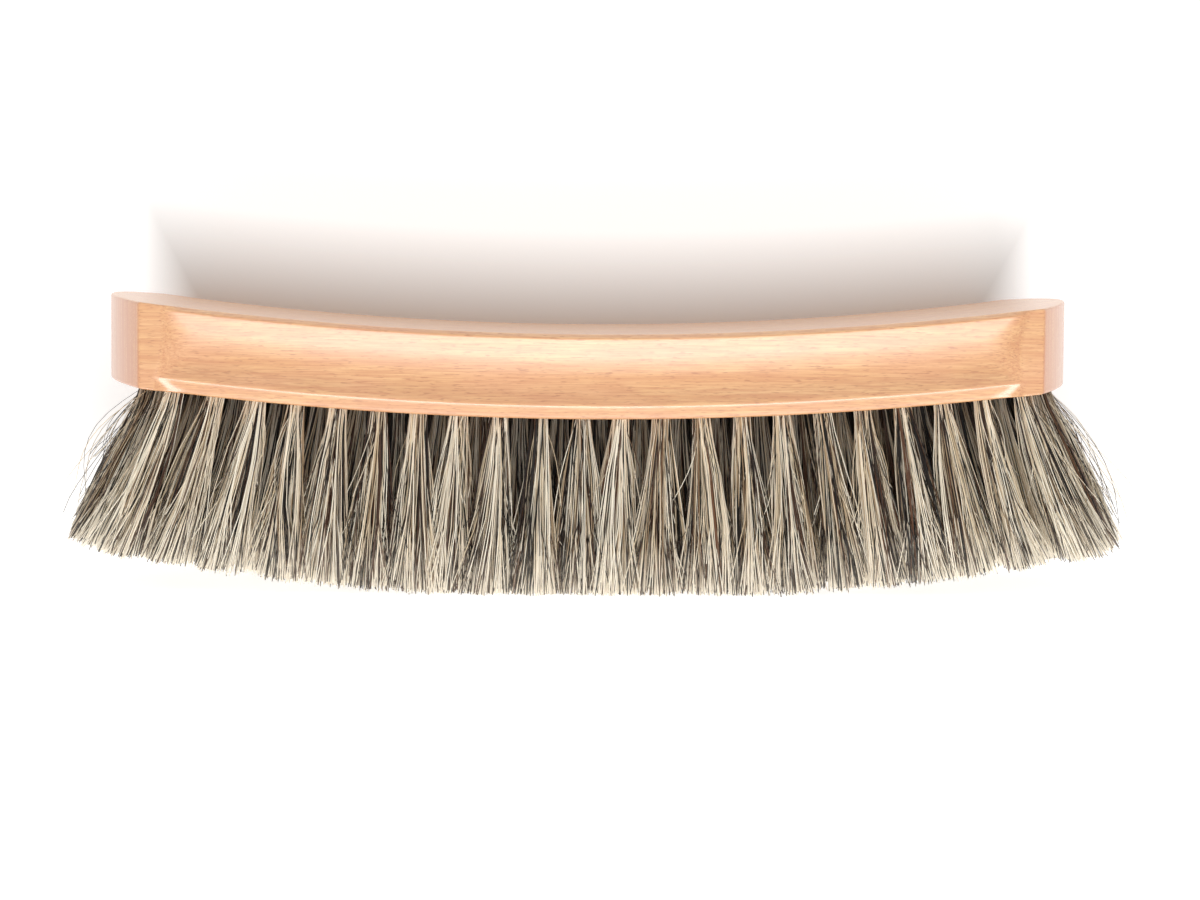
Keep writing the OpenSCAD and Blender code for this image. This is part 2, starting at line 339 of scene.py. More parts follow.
def block_skin():
    """Points of the skin as (stations, loop, 3).

    A wall point is the outline point less its inward distance times the outward normal. The
    inward distance is the cut plus the rim's, which is rim * (1 - sin t) at rim * (1 - cos t)
    below the face. Z is the bend axis less the square root of (radius squared - x squared).
    """
    flip = np.array([-1.0, 1.0])
    plan = np.concatenate([outline[:0:-1] * flip, outline])
    normal = np.concatenate([outward[:0:-1] * flip, outward])
    rim = RIM_END + (RIM_SIDE - RIM_END) * normal[:, 1:] ** RIM_POWER
    t = np.linspace(0, np.pi / 2, RIM_POINTS)[None, :]
    share = wall_rows()[None, 1:-1]
    top_h, top_in = rim * (1 - np.cos(t)), rim * (1 - np.sin(t))
    h = np.concatenate([top_h, rim + share * (BLOCK_T - 2 * rim), BLOCK_T - top_h[:, ::-1]], 1)
    inward = np.concatenate([top_in, np.zeros((len(plan), share.size)), top_in[:, ::-1]], 1)
    inward = inward + np.where(normal[:, 1:] > ACROSS, cut_depth(plan[:, :1], h), 0)
    x, y = plan[:, :1] - inward * normal[:, :1], plan[:, 1:] - inward * normal[:, 1:]
    across = np.linspace(-1, 1, CAP_STEPS + 2)[None, 1:-1]
    across = np.concatenate([[[-CAP_EDGE]], across, [[CAP_EDGE]]], 1)
    one = np.ones_like(across)
    under, above = np.full((len(plan), one.size), BLOCK_T), np.zeros((len(plan), one.size))
    loop_x = np.concatenate([x, x[:, -1:] * one, x[:, ::-1], x[:, :1] * one], 1)
    loop_y = np.concatenate([-y, y[:, -1:] * across, y[:, ::-1], -y[:, :1] * across], 1)
    loop_h = np.concatenate([h, under, h[:, ::-1], above], 1)
    loop_z = BEND_Z - np.sqrt((TOP_R + loop_h) ** 2 - loop_x**2)
    return np.stack([loop_x + SHIFT, loop_y, loop_z], 2)


skin = block_skin()
print("the block's grid has", skin.shape[0], "by", skin.shape[1], "points")

# %% [markdown]
# Each four neighbours of the grid make a face. The grid folds shut at the tips of the block, where
# real wood simply goes on. A cap could close it, but merging the doubled points leaves no seam, and
# the normals are recalculated after that, so that every face points outwards.

# %% Faces of the block
# Points nearer to each other than this, in metres, are one
WELD = 1e-7


def grid_quads(rows, columns):
    """Faces of a grid whose columns close into a loop.

    A corner's number is its row times the columns plus its column, and the column after the
    last is the first.
    """
    row, column = np.meshgrid(np.arange(rows - 1), np.arange(columns), indexing="ij")
    after = (column + 1) % columns
    return np.stack([row * columns + column, row * columns + after,
                     (row + 1) * columns + after, (row + 1) * columns + column], 2).reshape(-1, 4)


block = make_piece("beech_block", skin.reshape(-1, 3), grid_quads(*skin.shape[:2]))
welded = bmesh.new()
welded.from_mesh(block.data)
bmesh.ops.remove_doubles(welded, verts=welded.verts, dist=WELD)
bmesh.ops.recalc_face_normals(welded, faces=welded.faces)
welded.to_mesh(block.data)
print("open edges left in the block:", sum(edge.is_boundary for edge in welded.edges))
welded.free()
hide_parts("block")

# %% [markdown]
# The holes are drilled so that they fan out. Their places could be written down again, but then
# hair and holes might part, so they are measured from the frame. Each anchor is a small box of
# flat wire: its middle lies on the hole's axis, and its second longest direction is the axis. An
# imported box has 24 points, four for each of its six faces.

# %% Holes, read from the anchors
ROWS, BOX_POINTS = 7, 24
# From the mouth of a hole to the middle of its anchor
ANCHOR_DEPTH = 8.8 * MM


def holes_of(row):
    """Mouths and axes of a row's holes, pointing out of the wood, ordered along the brush.

    A box's points come together in the mesh. Its middle is their mean, and its directions are
    the eigenvectors of their spread, from thin to long.
    """
    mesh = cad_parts[f"anchor_row_{row}"].data
    places = np.empty(len(mesh.vertices) * 3)
    mesh.vertices.foreach_get("co", places)
    boxes = places.reshape(-1, BOX_POINTS, 3)
    middles = boxes.mean(axis=1)
    around = boxes - middles[:, None]
    axes = np.linalg.eigh(np.einsum("nik,nil->nkl", around, around))[1][:, :, 1]
    axes *= -np.sign(axes[:, 2:])
    return middles + axes * ANCHOR_DEPTH, axes


holes = [holes_of(row) for row in range(1, ROWS + 1)]
END_MOUTH, SIDE_MOUTH = (max(np.abs(mouths[:, k]).max() for mouths, _ in holes) for k in (0, 1))
print("tufts in each row:", [len(mouths) for mouths, _ in holes])

# %% [markdown]
# A tuft is hair folded over its anchor, packed tight in the hole and free below it. A particle
# hair system would draw curves that an exported model loses, so each hair here is a real bar of
# three sides and four segments, a few dozen faces, worked out for a whole row at once. It is drawn
# about twice as thick as a real hair, so that 324 of them fill a tuft and still show one by one.

# %% Sizes of the hair
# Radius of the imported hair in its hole, and how far the rim of the tuft drifts out at the tip
PACKED_R, TIP_SPREAD = 1.72 * MM, 4.1 * MM
BUNDLES, LOCKS, HAIRS = 9, 6, 6
PER_TUFT = BUNDLES * LOCKS * HAIRS
# Radii of a tuft's hair at its root and its tip, of a loose hair and of a stray
HAIR_R, HAIR_TIP_R, LOOSE_R, STRAY_R = np.array([0.125, 0.10, 0.09, 0.07]) * MM
# Rings of a hair, as shares of its length. The first lies inside the hole.
ALONG = np.array([-0.05, 0.12, 0.34, 0.64, 1.0])
print("hairs in a tuft:", PER_TUFT, " in all:", PER_TUFT * sum(len(mouths) for mouths, _ in holes))

# %% [markdown]
# After filling, a machine trims the brush to one wide arc with a small flat foot. A Boolean could
# cut the hairs too, but slowly, so each hair gets the length that brings its tip to that surface.
# The outermost tufts lean out further than their holes, and hair that would stand too far out is
# combed in.

# %% Where the hair is trimmed
# Radius of the trimmed arc, and how much of it the flat foot takes away
TRIM_R, FOOT_CUT = 580.0 * MM, 0.5 * MM
# Hair that would stand further out than the first is drawn in, to the sum of both at most
COMBED, GIVE = np.array([107.5, 30.8]) * MM, np.array([3.0, 1.9]) * MM
# How quickly a tuft stops counting as an outer one, away from the rim
OUTER_POWER = 5


def trim_z(x):
    """Height of the trimmed surface: a wide arc, less a flat foot where it would dip below 0."""
    return np.maximum(TRIM_R - FOOT_CUT - np.sqrt(TRIM_R**2 - x**2), 0)


def combed(places, give):
    """Values past the limit are drawn in: limit + give * tanh((value - limit) / give)."""
    past = np.clip(np.abs(places) - COMBED, 0, None)
    return np.sign(places) * (np.minimum(np.abs(places), COMBED) + give * np.tanh(past / give))


def outerness(mouths):
    """How far out a tuft is, along and across: its share of the last one's place, to a power."""
    return ((mouths[:, :2] / [END_MOUTH, SIDE_MOUTH]) ** OUTER_POWER)[:, None, None]


print("trimmed surface at the block's ends in mm:", round(float(trim_z(HALF_L)) / MM, 2))

# %% [markdown]
# Hair sticks together in locks, which fan out as flat blades and only fray near their ends. Chance
# for each hair alone would give an even mist, so chance works on three levels here: nine bundles
# in a tuft, six locks in a bundle and six hairs in a lock, each with drifts of its own.

# %% Chances in a tuft
# Places in the hole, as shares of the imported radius: ring of bundles, chance of a lock and a hair
RING, LOCK_SCATTER, HAIR_SCATTER = 0.88, 0.20, 0.07
# Chance in the drift at the tip, of a bundle, of a lock in it and of a hair in its lock
BUNDLE_DRIFT, LOCK_DRIFT, HAIR_FRAY = np.array([1.3, 1.1, 0.6]) * MM
# Chance in how far a whole tuft leans at its tip, along and across the brush
LEAN = np.array([1.0, 0.5]) * MM
# Some hairs are wild: their share, how much more they fray, and the most that any hair frays
WILD_SHARE, WILDNESS, MOST_FRAY = 0.24, 3.6, 4.5 * MM
# Chance in the bow of a lock and of a hair
LOCK_BOW, HAIR_BOW = 0.7 * MM, 0.25 * MM
# Powers of the share along the hair. A drift with a low one comes early, with a high one late.
EARLY, LATE = (0.95, 1.5), (1.6, 3.0)
# Broken hairs: their share, and how much of its length one lacks on average
BROKEN_SHARE, BROKEN_LACK = 0.30, 0.06
# Chance in every hair's length, and its least and most, as shares of the way to the trimmed surface
UNEVEN, SHORTEST, LONGEST = 0.011, 0.35, 1.02
print("a wild hair frays by about", round(float(HAIR_FRAY * WILDNESS / MM), 1), "mm")

# %% How the hairs of a tuft spread
GOLDEN_ANGLE = 2.399963
SAMPLE_SEED = 7


def levels(tufts):
    """Shapes of arrays that hold one value for each bundle, each lock and each hair."""
    return (tufts, BUNDLES, 1, 1), (tufts, BUNDLES, LOCKS, 1), (tufts, BUNDLES, LOCKS, HAIRS)


def spread_tufts(tufts, rng):
    """Offsets of the hairs from the axis of their hole.

    Bundles start on a sunflower pattern, at the square root of their number times the radius,
    each turned by the golden angle. Locks are scattered in bundles and hairs in locks. The
    bundle and lock drift apart early, and each hair leaves its lock late.
    """
    bundles, locks, hairs = levels(tufts)
    turn = GOLDEN_ANGLE * np.arange(BUNDLES) + rng.uniform(0, 2 * np.pi, (tufts, 1))
    ring = RING * np.sqrt((np.arange(BUNDLES) + 0.5) / BUNDLES)
    centre = np.stack([ring * np.cos(turn), ring * np.sin(turn)], 2).reshape(*bundles, 2)
    lock = rng.normal(0, LOCK_SCATTER, (*locks, 2))
    own = rng.normal(0, HAIR_SCATTER, (*hairs, 2))
    root = centre + lock + own
    root = root / np.maximum(np.linalg.norm(root, axis=-1, keepdims=True), 1)
    way = (centre + lock) * TIP_SPREAD + rng.normal(0, BUNDLE_DRIFT, (*bundles, 2))
    way = way + rng.normal(0, LOCK_DRIFT, (*locks, 2))
    way = way + rng.normal(0, 1, (tufts, 1, 1, 1, 2)) * LEAN
    wild = np.where(rng.random((*hairs, 1)) < WILD_SHARE, WILDNESS, 1.0)
    astray = np.clip(rng.normal(0, HAIR_FRAY, (*hairs, 2)) * wild, -MOST_FRAY, MOST_FRAY)
    fray = own * TIP_SPREAD + astray
    bow = rng.normal(0, LOCK_BOW, (*locks, 2)) + rng.normal(0, HAIR_BOW, (*hairs, 2))
    early = rng.uniform(*EARLY, (*bundles, 1))
    late = rng.uniform(*LATE, (*hairs, 1))
    lack = np.where(rng.random(hairs) < BROKEN_SHARE, rng.exponential(BROKEN_LACK, hairs), 0)
    span = np.clip(1 - lack + rng.normal(0, UNEVEN, hairs), SHORTEST, LONGEST)

    def flat(values, width):
        """The values of each tuft's hairs in one list."""
        return np.broadcast_to(values, (*hairs, width)).reshape(tufts, PER_TUFT, width)

    return {"root": flat(root, 2) * PACKED_R, "way": flat(way, 2), "early": flat(early, 1),
            "fray": flat(fray, 2), "late": flat(late, 1), "bow": flat(bow, 2),
            "span": span.reshape(tufts, PER_TUFT)}


sample_hair = spread_tufts(1, np.random.default_rng(SAMPLE_SEED))
print("mean drift of a hair in mm:", round(float(np.abs(sample_hair["way"]).mean()) / MM, 2))

# %% [markdown]
# The brush is a mix of hair from several horses, so cream, grey, brown and black hairs lie side by
# side. A noise texture would colour neighbours alike. Here every hair gets one tone from 0, dark,
# to 1, pale, by the same three levels of chance, and some locks and hairs are dark ones.

# %% Tones of the hairs
# Mean tone, and chance in it for a bundle, a lock and a hair
MEAN_TONE, TONE_CHANCE = 0.86, (0.06, 0.14, 0.13)
# Share of dark locks and of dark hairs, and the palest tone of each
DARK_LOCKS, DARK_HAIRS = (0.14, 0.4), (0.21, 0.35)
# The palest tone, just under 1, because a tone of 1 would fall past the last column of the UV map
PALEST = 0.999


def tones_of_tufts(tufts, rng):
    """Tones of the hairs: mean plus chance on each level, then dark ones in place of some."""
    tone = np.full(levels(tufts)[0], MEAN_TONE)
    for chance, level in zip(TONE_CHANCE, levels(tufts)):
        tone = tone + rng.normal(0, chance, level)
    for (share, palest), level in zip((DARK_LOCKS, DARK_HAIRS), levels(tufts)[1:]):
        tone = np.where(rng.random(level) < share, rng.uniform(0.0, palest, level), tone)
    return np.clip(tone.reshape(tufts, PER_TUFT), 0, PALEST)


sample_tones = tones_of_tufts(1, np.random.default_rng(SAMPLE_SEED))
print("share of dark hairs:", round(float((sample_tones < DARK_LOCKS[1]).mean()), 2))

# %% [markdown]
# A real hair leaves the hole with its bundle, bends away from it and ends where the machine cut
# it. Simulating all of them would take hours, so a hair's path is a sum of a few simple terms. Its
# length is found by trying: whatever the tip lacks to the trimmed surface is added, four times.

# %% Paths of the hairs
# Extra slope of the outermost tufts, and how much less they spread, along and across the brush
FLARE, GATHER = np.array([0.25, 0.05]), np.array([0.50, 0.30])
FLARE_POWER, TRIM_TRIES = 1.4, 4


def hair_points(mouths, axes, hair, reach, along, give):
    """Points at the shares along of each hair, as (tufts, hairs, rings, 3).

    A point is mouth + axis * t * reach + root + (way - root) * t^early + fray * t^late
    + bow * sin(pi t), plus the flare's slope times t^1.4, with t the share from 0 to 1. The
    outer tufts spread less and lean out more.
    """
    outer = outerness(mouths)
    side_x = np.cross([0.0, 1.0, 0.0], -axes)
    side_x /= np.linalg.norm(side_x, axis=1, keepdims=True)
    side_y = np.cross(-axes, side_x)
    t = along[None, None, :, None]
    u = np.clip(t, 0, None)
    root, way, fray, bow = (hair[key][:, :, None] for key in ("root", "way", "fray", "bow"))
    drift = (way - root) * u ** hair["early"][:, :, None] + fray * u ** hair["late"][:, :, None]
    off = root + drift * (1 - GATHER * np.abs(outer)) + bow * np.sin(np.pi * u)
    point = mouths[:, None, None] + axes[:, None, None] * (t * reach[:, :, None, None])
    point = point + off[..., :1] * side_x[:, None, None] + off[..., 1:] * side_y[:, None, None]
    point[..., :2] += FLARE * outer * reach[:, :, None, None] * u**FLARE_POWER
    point[..., :2] = combed(point[..., :2], give)
    return point


def trimmed_paths(mouths, axes, hair, along, give=GIVE):
    """Paths (hairs, rings, 3) whose tips lie on the trimmed surface, less what each hair lacks.

    The reach starts as the height of the block's underside. Each try adds the tip's height over
    the surface, divided by the fall of the axis. No point sinks into the floor.
    """
    reach = np.full(hair["span"].shape, UNDER_Z)
    for _ in range(TRIM_TRIES):
        tip = hair_points(mouths, axes, hair, reach, along[-1:], give)[:, :, 0]
        reach = reach + (tip[..., 2] - trim_z(tip[..., 0])) / -axes[:, None, 2]
    paths = hair_points(mouths, axes, hair, reach * hair["span"], along, give)
    paths[..., 2] = np.maximum(paths[..., 2], HAIR_R)
    return paths.reshape(-1, len(along), 3)


sample_mouth, sample_axis = (part[:1] for part in holes[ROWS // 2])
sample_paths = trimmed_paths(sample_mouth, sample_axis, sample_hair, ALONG)
print("tips of one tuft spread in mm:", np.round(np.ptp(sample_paths[:, -1], axis=0) / MM, 1))

# %% [markdown]
# A path becomes a thin bar. A curve with a bevel could do that too, but it would give each hair
# hundreds of faces. Here it is a triangle of points round each ring, and a closing triangle at the
# tip. The UV map is small and plain. Its U is the tone of the hair, one narrow column for each of
# 64 tones, and its V runs from root to tip, so all hairs of one tone share one column.

# %% Points of the bars
CORNERS = 3


def bar_points(paths, root_r, tip_r, rng):
    """Points round the rings of bars along paths, as (hairs, rings, corners, 3).

    Ring corners stand at the radius from the path, 120 degrees apart, from a random turn. The
    radius goes from root_r to tip_r as the square of the share along the hair.
    """
    way = paths[:, -1] - paths[:, 0]
    way /= np.linalg.norm(way, axis=1, keepdims=True)
    first = np.cross(way, [0.0, 1.0, 0.0])
    first /= np.linalg.norm(first, axis=1, keepdims=True)
    second = np.cross(way, first)
    angle = rng.uniform(0, 2 * np.pi, (len(paths), 1)) + np.arange(CORNERS) * 2 * np.pi / CORNERS
    spoke = np.cos(angle)[..., None] * first[:, None] + np.sin(angle)[..., None] * second[:, None]
    share = np.linspace(0, 1, paths.shape[1])
    radius = (root_r + (tip_r - root_r) * share**2)[None, :, None, None]
    return paths[:, :, None] + spoke[:, None] * radius


sample_bars = bar_points(sample_paths, HAIR_R, HAIR_TIP_R, np.random.default_rng(SAMPLE_SEED))
print("points on the bars of one tuft:", sample_bars[..., 0].size)

# %% Faces and tones of the bars
TONES = 64
# How much of a column's width stays free on its left and right, and where V ends for the tip
COLUMN_EDGE, TIP_V = 0.1, 0.99


def bar_faces(count, rings):
    """Quads between the rings of all bars, as (bars, ring gaps, corners, 4), and closing tips."""
    bar = np.arange(count)[:, None, None] * rings * CORNERS
    ring, side = np.arange(rings - 1)[None, :, None] * CORNERS, np.arange(CORNERS)[None, None, :]
    after = (side + 1) % CORNERS
    quads = np.stack([bar + ring + side, bar + ring + after,
                      bar + ring + CORNERS + after, bar + ring + CORNERS + side], 3)
    return quads, bar[:, :, 0] + (rings - 1) * CORNERS + np.arange(CORNERS)[None, :]


def bar_places(tones, rings, shape):
    """UV places of all corners: U inside the column of the tone, V the share along the hair."""
    share = np.linspace(0, 1, rings)
    column = np.floor(tones * TONES) / TONES
    left, right = column + COLUMN_EDGE / TONES, column + (1 - COLUMN_EDGE) / TONES
    u = np.stack([left, right, right, left], 1)[:, None, None, :]
    v = np.stack([share[:-1], share[:-1], share[1:], share[1:]], 1)[None, :, None, :]
    places = np.stack([np.broadcast_to(u, shape), np.broadcast_to(v, shape)], 4).reshape(-1, 2)
    tip_u = np.stack([left, right, (left + right) / 2], 1)
    tip_v = np.broadcast_to([TIP_V, TIP_V, 1.0], tip_u.shape)
    return np.concatenate([places, np.stack([tip_u, tip_v], 2).reshape(-1, 2)])


def hair_bars(paths, tones, root_r, tip_r, rng):
    """All that make_piece needs for bars along paths: points, quads, triangles and UV places."""
    count, rings = paths.shape[:2]
    points = bar_points(paths, root_r, tip_r, rng)
    quads, tips = bar_faces(count, rings)
    return points.reshape(-1, 3), quads.reshape(-1, 4), tips, bar_places(tones, rings, quads.shape)


print("quads and tips of one hair:", [faces.size // faces.shape[-1] for faces in bar_faces(1, len(ALONG))])

# %% [markdown]
# The real brush is filled hole by hole, and every tuft differs. Instances of one tuft would be
# light, but the eye would find the repeats. So each row is one mesh with chance of its own, seeded
# with the row's number, so that every run gives the same brush.

# %% Rows of tufts
ROW_SEED = 100
hair_rows = []
for row, (mouths, axes) in enumerate(holes, start=1):
    rng = np.random.default_rng(ROW_SEED + row)
    hair = spread_tufts(len(mouths), rng)
    tones = tones_of_tufts(len(mouths), rng).ravel()
    paths = trimmed_paths(mouths, axes, hair, ALONG)
    piece = make_piece(f"hair_row_{row}", *hair_bars(paths, tones, HAIR_R, HAIR_TIP_R, rng))
    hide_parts(f"tuft_row_{row}")
    hair_rows.append(piece)

# %% [markdown]
# Not every hair stays in its tuft. Round the rim of the brush many drift into the next tuft and
# cross its hairs. They could be drawn by hand as curves, but they are rooted in the holes like the
# others, so they use the same paths with wider drifts and more rings.

# %% How single hairs spread
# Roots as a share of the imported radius, and how far a hair may drift outwards across the brush
ROOT_SPREAD, OUTWARD = 0.7, 1.4 * MM
# Chance in the fray across the brush, and the bow outwards
CROSS_FRAY, OUTWARD_BOW = 0.3 * MM, 0.8 * MM
LOOSE_EARLY, LOOSE_LATE = (1.1, 2.0), (2.5, 5.0)
# The palest of the dark tones, and the darkest and palest of the pale ones
DARK_TONE, PALE_TONES = 0.36, (0.6, 0.99)


def gathered(groups):
    """Mouths and axes of several groups of holes, each put together."""
    return [np.concatenate([group[k] for group in groups]) for k in (0, 1)]


def spread_loose(mouths, rng, count, drift, curl, shortest):
    """Offsets of single hairs that drift along the brush and a little outwards across it.

    Count is that of one tuft. Drift and curl are the chance in the drift and in the bow, and
    shortest is the share of the full length that the shortest hair has. The middle row has no
    side to drift to, because its places across are rounded to 0.
    """
    shape = (len(mouths), count)
    side = np.sign(np.round(mouths[:, None, 1], 4))
    root = rng.uniform(-ROOT_SPREAD, ROOT_SPREAD, (*shape, 2)) * PACKED_R
    way = np.stack([rng.normal(0, drift, shape), side * rng.uniform(0, OUTWARD, shape)], 2)
    fray = np.stack([rng.normal(0, drift / 2, shape), rng.normal(0, CROSS_FRAY, shape)], 2)
    bow = np.stack([rng.normal(0, curl, shape), side * np.full(shape, OUTWARD_BOW)], 2)
    early, late = rng.uniform(*LOOSE_EARLY, (*shape, 1)), rng.uniform(*LOOSE_LATE, (*shape, 1))
    return {"root": root, "way": way, "fray": fray, "bow": bow, "early": early, "late": late,
            "span": rng.uniform(shortest, 1.0, shape)}


def loose_tones(count, dark, rng):
    """Tones of single hairs, of which the share dark is brown to black and the rest pale."""
    picked = rng.random(count) < dark
    return np.where(picked, rng.uniform(0, DARK_TONE, count), rng.uniform(*PALE_TONES, count))


row_ends = [[part[[0, -1]] for part in row] for row in holes]
rim_mouths, rim_axes = gathered([holes[0], holes[-1], *row_ends[1:-1]])
print(len(rim_mouths), "tufts on the rim of the brush")

# %% Loose hairs
LOOSE_ALONG = np.linspace(0, 1, 7)
LOOSE = {"count": 50, "drift": 2.3 * MM, "curl": 0.9 * MM, "shortest": 0.45}
LOOSE_DARK, LOOSE_SEED = 0.35, 31
rng = np.random.default_rng(LOOSE_SEED)
loose = spread_loose(rim_mouths, rng, **LOOSE)
loose_paths = trimmed_paths(rim_mouths, rim_axes, loose, LOOSE_ALONG)
tones = loose_tones(len(loose_paths), LOOSE_DARK, rng)
loose_hairs = make_piece("loose_hairs", *hair_bars(loose_paths, tones, LOOSE_R, LOOSE_R, rng))

# %% [markdown]
# A few hairs run wide in long thin curves in front of the tufts, and at both ends of the brush
# single wisps stand out, bowed away from it. They are so few that each one shows, so they get
# the most rings of all, and chance from the same seed as the loose hairs.

# %% Strays and wisps
STRAY_ALONG = np.linspace(0, 1, 10)
STRAYS = {"count": 2, "drift": 4.5 * MM, "curl": 1.8 * MM, "shortest": 0.55}
outer_mouths, outer_axes = gathered([holes[0], holes[-1]])
strays = spread_loose(outer_mouths, rng, **STRAYS)
stray_paths = trimmed_paths(outer_mouths, outer_axes, strays, STRAY_ALONG)

WISPS = {"count": 7, "drift": 2.5 * MM, "curl": 3.4 * MM, "shortest": 0.45}
# How much further than others wisps drift outwards, and how far out they may stand
WISP_REACH, WISP_GIVE = 3.6, np.array([6.0, 1.9]) * MM
end_mouths, end_axes = gathered(row_ends)
wisps = spread_loose(end_mouths, rng, **WISPS)
outwards = np.sign(end_mouths[:, None, 0])
wisps["way"][..., 0] = outwards * np.abs(wisps["way"][..., 0]) * WISP_REACH
wisps["bow"][..., 0] = outwards * np.abs(wisps["bow"][..., 0])
wisp_paths = trimmed_paths(end_mouths, end_axes, wisps, STRAY_ALONG, WISP_GIVE)

# Both together in one piece, with this share of dark ones
STRAY_DARK = 0.5
fine_paths = np.concatenate([stray_paths, wisp_paths])
tones = loose_tones(len(fine_paths), STRAY_DARK, rng)
stray_hairs = make_piece("stray_hairs", *hair_bars(fine_paths, tones, STRAY_R, STRAY_R, rng))

# %% [markdown]
# Horsehair is a fibre of keratin, washed and combed but not dyed, smooth and a little glossy. The
# Hair BSDF could show the gloss, but an exported model loses it, so this is a plain shader with a
# low roughness. A ramp turns each hair's tone into its colour, from near black through brown to
# cream. Real tufts hold far more and finer hairs, between which light dies out. Shade is painted
# into the colour for that: it is darker near the root, and more so in the inner rows, away from both
# ends. So the three hair materials are one material, shaded three ways.

# %% Colours of the hair, with painted shade and painted light
HAIR_PALETTE = [(0.0, "#0a0503"), (0.18, "#1c110a"), (0.30, "#4a3020"), (0.38, "#70492f"),
                (0.46, "#967959"), (0.58, "#c8ae8b"), (0.70, "#ead7b6"), (0.84, "#fbead0"),
                (1.0, "#fff6e2")]
# Light reaches the roots of the end tufts, so their painted root shade is lighter: where that starts and
# ends, and the brightness there
LIT_FROM, LIT_TO, LIT_SHADE = END_MOUTH - 8 * MM, END_MOUTH + 3 * MM, 0.85
# Share along the hair where the painted shade at its root begins to fade, and where the pale tip begins
ROOT_V, TIP_FROM = 0.04, 0.78
# Only fair hairs get a pale tip, partly their own paler ends and partly painted light where the fringe
# catches it: tones between which it comes up, and how pale it gets
FAIR_TONES, FAIR_TIPS, TIP_COLOUR = (0.36, 0.6), (0.08, 0.9), "#fff4e0"
print("colours of the hair, from dark to pale:", *[colour for _, colour in HAIR_PALETTE])


# %% Horsehair
def horsehair(name, root_shade, unshaded_from):
    """Mixed horsehair: keratin, IOR about 1.55, a soft gloss along each fibre.

    The painted shade leaves the root at root_shade brightness and ends at unshaded_from of the length.
    """
    material, tree, shader = new_material(name, Roughness=0.38, IOR=1.55)
    place = add(tree, "UVMap", uv_map=UV_MAP)
    split = add(tree, "SeparateXYZ", {"Vector": place.outputs["UV"]})
    tone = add(tree, "ValToRGB", {"Fac": split.outputs["X"]}, stops=HAIR_PALETTE)
    # Painted shade: darker towards the root, and less so near both ends of the brush, where light reaches
    # in
    spot = add(tree, "SeparateXYZ", {"Vector": add(tree, "TexCoord").outputs["Object"]})
    far = add(tree, "Math", {0: spot.outputs["X"]}, operation="ABSOLUTE")
    root = add(tree, "MapRange", {"Value": far.outputs["Value"], "From Min": LIT_FROM, "From Max": LIT_TO,
                                  "To Min": root_shade, "To Max": LIT_SHADE})
    shade = add(tree, "MapRange", {"Value": split.outputs["Y"], "From Min": ROOT_V, "From Max": unshaded_from,
                                   "To Min": root.outputs["Result"]}, interpolation_type="SMOOTHSTEP")
    fair = add(tree, "MapRange", {"Value": split.outputs["X"],
                                  "From Min": FAIR_TONES[0], "From Max": FAIR_TONES[1],
                                  "To Min": FAIR_TIPS[0], "To Max": FAIR_TIPS[1]})
    # Pale tips on fair hairs, partly their own paler ends and partly painted light caught by the fringe
    tip = add(tree, "MapRange", {"Value": split.outputs["Y"], "From Min": TIP_FROM,
                                 "To Max": fair.outputs["Result"]}, interpolation_type="SMOOTHSTEP")
    pale = add(tree, "Mix", {"Factor": tip.outputs["Result"], COLOUR_A: tone.outputs["Color"],
                             COLOUR_B: linear(TIP_COLOUR)}, data_type="RGBA")
    dim = add(tree, "VectorMath", {0: pale.outputs[COLOUR_OUT], "Scale": shade.outputs["Result"]},
              operation="SCALE")
    tree.links.new(dim.outputs["Vector"], shader.inputs["Base Color"])
    return material


# Three copies of one hair material, with painted root shade that is darker in the inner rows
outer_hair = horsehair("mixed_horsehair_outer_painted_shade", root_shade=1.0, unshaded_from=0.5)
second_hair = horsehair("mixed_horsehair_second_painted_shade", root_shade=0.38, unshaded_from=0.75)
inner_hair = horsehair("mixed_horsehair_inner_painted_shade", root_shade=0.1, unshaded_from=0.85)
shaded_copies = [outer_hair, second_hair, *[inner_hair] * (ROWS - 4), second_hair, outer_hair]
for piece, shaded_copy in zip(hair_rows, shaded_copies):
    piece.data.materials.append(shaded_copy)
loose_hairs.data.materials.append(outer_hair)
stray_hairs.data.materials.append(outer_hair)
print("horsehair on", len(shaded_copies) + 2, "pieces")

# %% [markdown]
# Steamed beech is pinkish tan, with fine short flecks along the grain. The block is sanded,
# moulded and sealed with a clear satin lacquer, which gives a soft sheen over the colour. A
# picture of wood could be wrapped round it, but its grain would bend at the edges. Noise in the
# block's own space runs through the wood as real grain does. Its rays and flecks are narrower
# than a pixel of the picture, so they are drawn a little coarser, to show at all.

# %% Grain and colours of the wood
# Growth bands: size of their features in mm, along, across and up, detail and distortion of noise
BANDS, BAND_STOPS = ((60, 1.6, 1.6), 3.0, 0.3), [(0.30, "#dca067"), (0.72, "#ecba80")]
# Layers over them, pink patches, fibres and flecks: the same three, then the noise's values
# between which they come up, how strongly they show at most, how they come up, and their colour
LAYERS = [((22, 7, 7), 1.0, 0.0, (0.42, 0.68), 0.4, "SMOOTHSTEP", "#e3a278"),
          ((9, 0.3, 0.3), 2.0, 0.4, (0.35, 0.65), 0.7, "LINEAR", "#ca8656"),
          ((2.2, 0.22, 0.22), 1.0, 0.0, (0.58, 0.72), 0.55, "SMOOTHSTEP", "#a9653a")]
# Streaks on the cut ends, which lie where the normal points along the block by these shares
STREAKS, STREAK_VALUES, LEAST_STREAK = ((0.7, 0.7, 26), 2.0, 0.0), (0.35, 0.65), 0.45
END_FACING, END_COLOUR = (0.45, 0.62), "#cd865a"
print("widest and finest grain in mm:", BANDS[0], LAYERS[-1][0])


